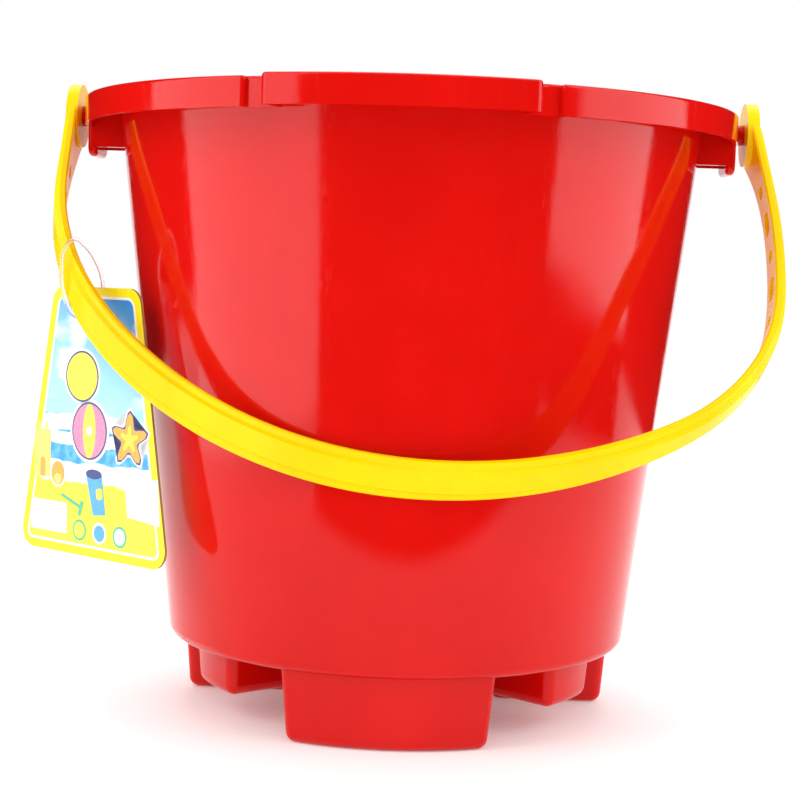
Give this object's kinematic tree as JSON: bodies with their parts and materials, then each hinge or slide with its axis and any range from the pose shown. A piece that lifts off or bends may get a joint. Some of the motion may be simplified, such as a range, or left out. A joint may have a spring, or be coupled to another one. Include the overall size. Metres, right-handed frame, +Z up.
{
  "type": "sand bucket",
  "caption": "Toy sand bucket with castle-mould feet, a lobed rim, a swinging strap handle and a card hang tag on a nylon loop.",
  "frame": {"origin": "on the bucket's axis at the ground, where the bottoms of the tall feet rest", "axes": "+Z up along the bucket's axis, -Y the front where the handle hangs, +X along the handle's pivots"},
  "size_m": [0.2049, 0.1916, 0.1711],
  "materials": {
    "bucket_plastic": "gloss, injection moulded",
    "handle_plastic": "satin gloss, injection moulded",
    "tag_card": "printed coated card",
    "tag_nylon": "clear nylon"
  },
  "bodies": {
    "bucket": {"bucket_shell": "bucket_plastic"},
    "bail": {"handle": "handle_plastic", "tag_loop": "tag_nylon"},
    "tag": {"hang_tag": "tag_card"}
  },
  "joints": [
    {"name": "handle_swing", "type": "hinge", "parent": "bucket", "child": "bail", "pos_m": [0, 0, 0.1624], "axis": [-1, 0, 0], "range_deg": [0, 279]},
    {"name": "tag_swing", "type": "hinge", "parent": "bail", "child": "tag", "pos_m": [-0.08157, -0.02995, 0.10926], "axis": [-0.6347, -0.7727, 0], "range_deg": [-40, 25]}
  ]
}
